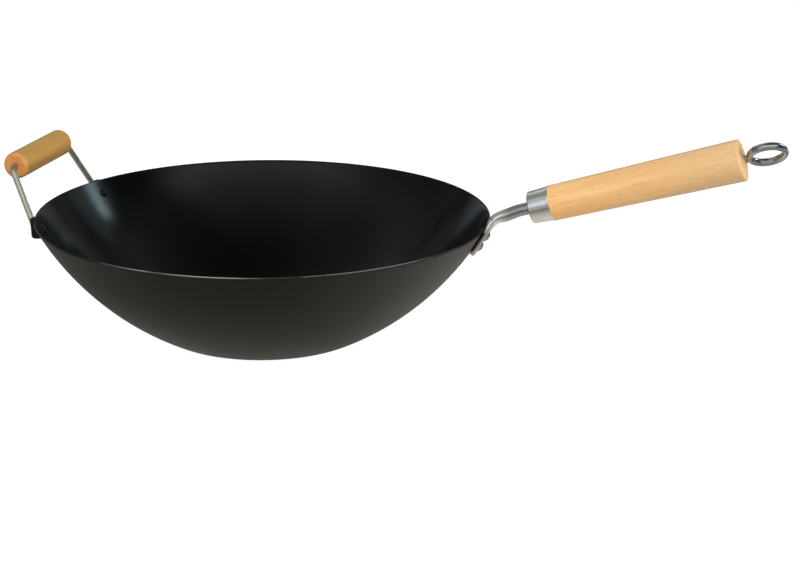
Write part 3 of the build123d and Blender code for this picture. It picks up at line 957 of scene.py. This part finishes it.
def white_paper():
    """Seamless white paper that carries some light of its own, so that the wok has only a faint shadow.

    What it sends back to the wok is less, and painted with light and shade: a painted pool of light
    under the long handle, a smaller one under the bowl, painted shade round them, and more again far out.
    """
    paper = {"Roughness": 0.9, "Specular IOR Level": 0.0, "Emission Strength": 0.95}
    material, tree, shader = new_material("white_seamless_paper", paper)
    shader.inputs["Emission Color"].default_value = colour("FFFFFF")
    place = add_node(tree, "ShaderNodeTexCoord").outputs["Object"]
    tooth = add_node(tree, "ShaderNodeTexNoise", {"Scale": 1 / (3 * MM), "Detail": 2.0}, {"Vector": place})
    tones = {"data_type": "RGBA", MIX_A: colour("868686"), MIX_B: colour("8C8C8C")}
    base = add_node(tree, "ShaderNodeMix", tones, {"Factor": tooth.outputs["Fac"]})
    tree.links.new(base.outputs[MIX_RESULT], shader.inputs["Base Color"])
    # Centres of the painted pools of light that the paper sends back to the wok
    under_bowl = (0, 0, 0)
    under_handle = (0.27, 0.04, 0)
    painted_pools = []
    for middle, near, far, near_share, far_share in (
        (under_handle, 0.08, 0.3, 0.78, 0.24),
        (under_bowl, 0.09, 0.19, 0.5, 0.24),
        (under_handle, 0.34, 0.66, 0.24, 0.52),
    ):
        away = add_node(tree, "ShaderNodeVectorMath", {"operation": "DISTANCE", 1: middle}, {0: place})
        fall = {"From Min": near, "From Max": far, "To Min": near_share, "To Max": far_share}
        painted_pool = add_node(tree, "ShaderNodeMapRange", fall, {"Value": away.outputs["Value"]})
        painted_pools.append(painted_pool.outputs["Result"])
    strength = painted_pools[0]
    for painted_pool in painted_pools[1:]:
        stronger = add_node(tree, "ShaderNodeMath", {"operation": "MAXIMUM"}, {0: strength, 1: painted_pool})
        strength = stronger.outputs["Value"]
    painted_floor_light = add_node(tree, "ShaderNodeEmission", {"Color": colour("FFFAEC")}, {"Strength": strength})
    ray = add_node(tree, "ShaderNodeLightPath").outputs["Is Camera Ray"]
    both = {"Fac": ray, 1: painted_floor_light.outputs["Emission"], 2: shader.outputs["BSDF"]}
    either = add_node(tree, "ShaderNodeMixShader", links=both)
    tree.links.new(either.outputs["Shader"], tree.nodes["Material Output"].inputs["Surface"])
    return material


floor_corners = [(x * floor_half, y * floor_half, 0) for x, y in ((-1, -1), (1, -1), (1, 1), (-1, 1))]
floor = new_piece("paper_floor", floor_corners, faces=[(0, 1, 2, 3)])
floor.data.materials.append(white_paper())

camera_focal = 94.16
camera_sensor = 36.0
camera_place = Vector((0.51191, -1.50599, 0.52337))
camera_azimuth = radians(14.903)
camera_drop = radians(17.034)
camera_roll = radians(0.286)
camera_data = bpy.data.cameras.new("photo_camera")
camera_data.lens = camera_focal
camera_data.sensor_width = camera_sensor
camera_data.sensor_fit = "HORIZONTAL"
camera = bpy.data.objects.new("photo_camera", camera_data)
bpy.context.scene.collection.objects.link(camera)
camera_turn = (
    Matrix.Rotation(camera_azimuth, 4, "Z") @ Matrix.Rotation(pi / 2 - camera_drop, 4, "X")
    @ Matrix.Rotation(camera_roll, 4, "Z")
)
camera.matrix_world = Matrix.Translation(camera_place) @ camera_turn
bpy.context.scene.camera = camera


def studio_room():
    """A white backdrop for the camera, and a room for the wok to mirror.

    The room is palest in a band above head height. Its right, left and back, and the ceiling over the
    back, fall off into the dark, and darker things stand in it low down.
    """
    room = bpy.data.worlds.new("studio_room")
    room.use_nodes = True
    tree = room.node_tree
    way = add_node(tree, "ShaderNodeTexCoord").outputs["Generated"]
    height = add_node(tree, "ShaderNodeSeparateXYZ", links={"Vector": way}).outputs["Z"]
    ramp = add_node(tree, "ShaderNodeValToRGB", links={"Fac": height})
    tones = (
        (0.0, "8C8D8E"), (0.3, "8E9092"), (0.45, "A2A5A7"), (0.68, "E4E8DE"),
        (0.8, "9EA298"), (0.94, "66695C"), (1.0, "3C3E34"),
    )
    for place, tone in tones[1:-1]:
        ramp.color_ramp.elements.new(place)
    for element, (place, tone) in zip(ramp.color_ramp.elements, tones):
        element.position = place
        element.color = colour(tone)
    lit = ramp.outputs["Color"]
    for side, near, far, most in (
        ((0.98, 0.21, 0), 0.63, 0.8, 0.9),
        ((-1, 0, 0), 0.25, 0.65, 0.7),
        ((0, 1, 0), 0.6, 0.95, 0.5),
        ((0.4, 0.47, 0.79), 0.74, 0.86, 0.8),
    ):
        facing = add_node(tree, "ShaderNodeVectorMath", {"operation": "DOT_PRODUCT", 1: side}, {0: way})
        lit = tint(tree, lit, "1C1E20", facing.outputs["Value"], near, far, most)
    things = add_node(tree, "ShaderNodeTexNoise", {"Scale": 3.2, "Detail": 2.0}, {"Vector": way})
    bulk = {"From Min": 0.56, "From Max": 0.62, "To Max": 0.7}
    hidden = add_node(tree, "ShaderNodeMapRange", bulk, {"Value": things.outputs["Fac"]}).outputs["Result"]
    below = {"From Min": 0.6, "From Max": 0.5}
    low_down = add_node(tree, "ShaderNodeMapRange", below, {"Value": height}).outputs["Result"]
    share = add_node(tree, "ShaderNodeMath", {"operation": "MULTIPLY"}, {0: hidden, 1: low_down})
    ray = add_node(tree, "ShaderNodeLightPath").outputs["Is Camera Ray"]
    for tone, factor in (("332C27", share.outputs["Value"]), ("FFFFFF", ray)):
        mixed_in = {"data_type": "RGBA", MIX_B: colour(tone)}
        lit = add_node(tree, "ShaderNodeMix", mixed_in, {"Factor": factor, MIX_A: lit}).outputs[MIX_RESULT]
    backdrop = tree.nodes["Background"]
    tree.links.new(lit, backdrop.inputs["Color"])
    backdrop.inputs["Strength"].default_value = 2.0
    return room


bpy.context.scene.world = studio_room()
bpy.context.scene.view_settings.view_transform = "Standard"


def soft_lamp(name, azimuth, height, distance, size, power, hex_code, mirrored=False, lean=0):
    """A soft box that faces the wok from an azimuth and a height, and may lean over, all in degrees.

    It either lights the surfaces, or is only mirrored in them, as a bright card is.
    """
    data = bpy.data.lights.new(name, "AREA")
    data.shape = "RECTANGLE"
    data.size, data.size_y = size
    data.energy = power
    data.color = colour(hex_code)[:3]
    lamp = bpy.data.objects.new(name, data)
    bpy.context.scene.collection.objects.link(lamp)
    lamp.visible_camera = False
    lamp.visible_glossy = mirrored
    lamp.visible_diffuse = not mirrored
    turn_to = Matrix.Rotation(radians(azimuth), 4, "Z") @ Matrix.Rotation(-radians(height), 4, "Y")
    facing = Matrix.Rotation(radians(lean), 4, "X") @ Matrix.Rotation(pi / 2, 4, "Y")
    lamp.matrix_world = turn_to @ Matrix.Translation((distance, 0, 0)) @ facing


# Each lamp's azimuth, which runs from the long handle towards the far side of the wok, its height, its
# distance and size in metres, its power in watts and its colour
soft_lamp("front_soft_box", -70, 28, 2.4, (2.0, 1.6), 35, "FFFFFF")
soft_lamp("left_soft_box", -160, 20, 2.4, (1.2, 1.6), 12, "FFFFFF")
soft_lamp("right_soft_box", 0, 12, 2.4, (1.2, 1.2), 36, "FFFAF0")
soft_lamp("top_soft_box", 90, 75, 2.6, (2.4, 2.4), 14, "FFFFFF")

# Cards that are only mirrored: the bright streak in the bowl and the glow round it, the inside of the
# wall beside the long handle, and the bright bands along the ferrule and the rod
soft_lamp("streak_card", 41.5, 28, 2.5, (0.64, 0.24), 6.8, "A8C4CC", mirrored=True, lean=-30)
soft_lamp("streak_glow", 48, 24, 2.6, (0.95, 0.85), 2.2, "B8C8D0", mirrored=True)
soft_lamp("right_wall_card", 134, 8, 2.4, (0.5, 0.9), 0.45, "C0D4E0", mirrored=True)
soft_lamp("front_card", -114, 20, 2.4, (1.1, 0.8), 2, "F0F4FF", mirrored=True)
